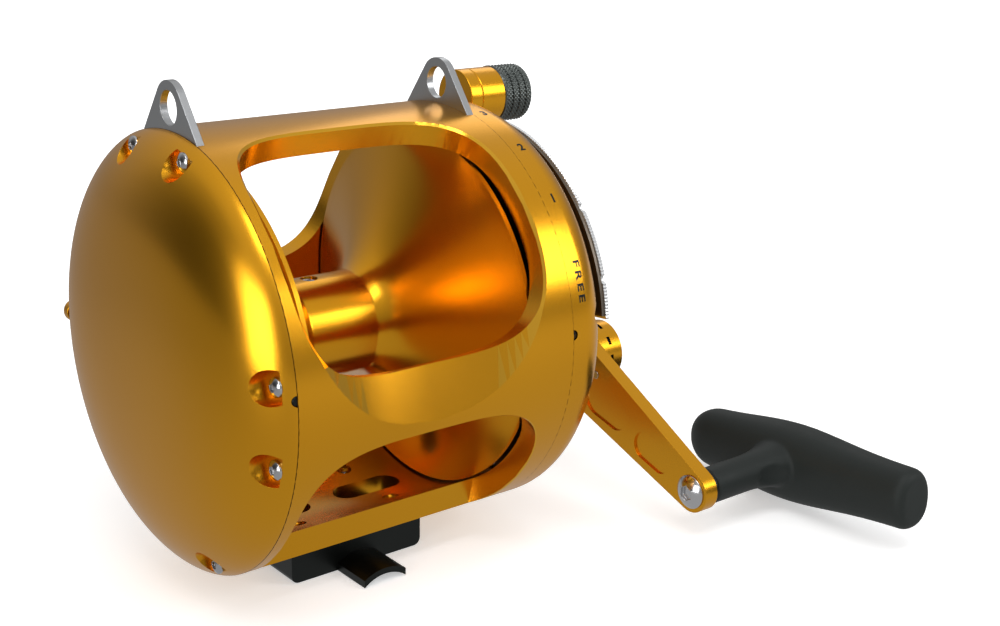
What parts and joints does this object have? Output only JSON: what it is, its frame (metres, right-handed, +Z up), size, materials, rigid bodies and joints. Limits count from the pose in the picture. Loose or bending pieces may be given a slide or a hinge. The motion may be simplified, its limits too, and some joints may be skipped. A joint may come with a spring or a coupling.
{
  "type": "trolling reel",
  "caption": "Large two-speed lever-drag trolling reel with open frame, flared spool, crank with T-bar grip, harness lugs and rod foot.",
  "frame": {"origin": "centre of the foot face that sits on the rod", "axes": "+X along the spool axis to the crank side, +Y towards the rod tip, +Z up away from the rod"},
  "size_m": [0.2787, 0.2351, 0.1913],
  "materials": {
    "gold": "satin gold anodised",
    "silver": "fine brushed",
    "black": "black anodised",
    "grip_rubber": "matte moulded",
    "backing": "dark anodised",
    "bronze": "machined",
    "drag_fibre": "woven carbon",
    "polished": "polished stainless",
    "steel": "machined stainless"
  },
  "bodies": {
    "frame": {"frame": "gold", "left_cover": "gold", "left_cover_screws": "polished", "right_side_plate": "gold", "right_plate_screws": "polished", "bridge_plate": "steel", "bridge_screws": "polished", "left_harness_lug": "silver", "right_harness_lug": "silver", "reel_foot": "black", "foot_screws": "polished", "drag_quadrant": "silver", "quadrant_backing": "backing", "quadrant_screws": "polished", "crank_boss": "gold", "crank_boss_screws": "polished", "inner_crank_bearing": "bronze", "outer_crank_bearing": "steel", "left_shaft_bearing": "steel", "right_shaft_bearing": "steel", "click_plate": "steel", "antireverse_pin": "steel"},
    "spool": {"spool": "gold", "line_tie_screw": "polished", "spool_shaft": "steel", "click_ratchet": "steel", "drag_washer": "drag_fibre", "high_pinion": "steel", "low_pinion": "steel"},
    "pressure_plate": {"pressure_plate": "silver"},
    "crank": {"crank_shaft": "steel", "high_gear": "bronze", "antireverse_wheel": "steel", "handle_arm": "gold", "handle_lock_screw": "polished", "grip_bolt": "polished", "grip_collar": "black"},
    "low_gear": {"low_gear": "bronze"},
    "shift_knob": {"shift_knob": "gold"},
    "grip": {"grip": "grip_rubber"},
    "drag_lever": {"drag_lever": "gold", "lever_barrel": "gold", "lever_pin": "steel", "lever_cap": "black", "drag_cam": "silver"},
    "preset_knob": {"preset_knob": "black"},
    "antireverse_dog": {"antireverse_dog": "silver"},
    "click_button": {"click_button": "gold"}
  },
  "joints": [
    {"name": "crank_spin", "type": "hinge", "parent": "frame", "child": "crank", "pos_m": [0.1, -0.00779, 0.05615], "axis": [1, 0, 0], "continuous": true},
    {"name": "spool_spin", "type": "hinge", "parent": "frame", "child": "spool", "pos_m": [0, 0, 0.0913], "axis": [1, 0, 0], "continuous": true},
    {"name": "low_gear_spin", "type": "hinge", "parent": "frame", "child": "low_gear", "pos_m": [0.066, -0.00779, 0.05615], "axis": [1, 0, 0], "continuous": true},
    {"name": "drag_lever", "type": "hinge", "parent": "frame", "child": "drag_lever", "pos_m": [0.088, 0, 0.0913], "axis": [1, 0, 0], "range_deg": [-28, 91]},
    {"name": "pressure_plate_slide", "type": "slide", "parent": "spool", "child": "pressure_plate", "axis": [1, 0, 0], "range_m": [-0.00024, 0.0008]},
    {"name": "preset_knob_turn", "type": "hinge", "parent": "drag_lever", "child": "preset_knob", "pos_m": [0.1, 0, 0.0913], "axis": [1, 0, 0], "range_deg": [-150, 150]},
    {"name": "speed_shift", "type": "slide", "parent": "crank", "child": "shift_knob", "axis": [1, 0, 0], "range_m": [-0.003, 0]},
    {"name": "grip_spin", "type": "hinge", "parent": "crank", "child": "grip", "pos_m": [0.15, -0.08733, 0.02041], "axis": [1, 0, 0], "continuous": true},
    {"name": "antireverse_dog_lift", "type": "hinge", "parent": "frame", "child": "antireverse_dog", "pos_m": [0.077, 0.01421, 0.05415], "axis": [1, 0, 0], "range_deg": [0, 12]},
    {"name": "click_button_push", "type": "slide", "parent": "frame", "child": "click_button", "axis": [0, -1, 0], "range_m": [0, 0.0025]}
  ],
  "couplings": [
    {"joint": "spool_spin", "follows": "crank_spin", "ratio": -2.6},
    {"joint": "low_gear_spin", "follows": "crank_spin", "ratio": 1.9659},
    {"joint": "pressure_plate_slide", "follows": "drag_lever", "m_per_rad": 0.0005}
  ]
}
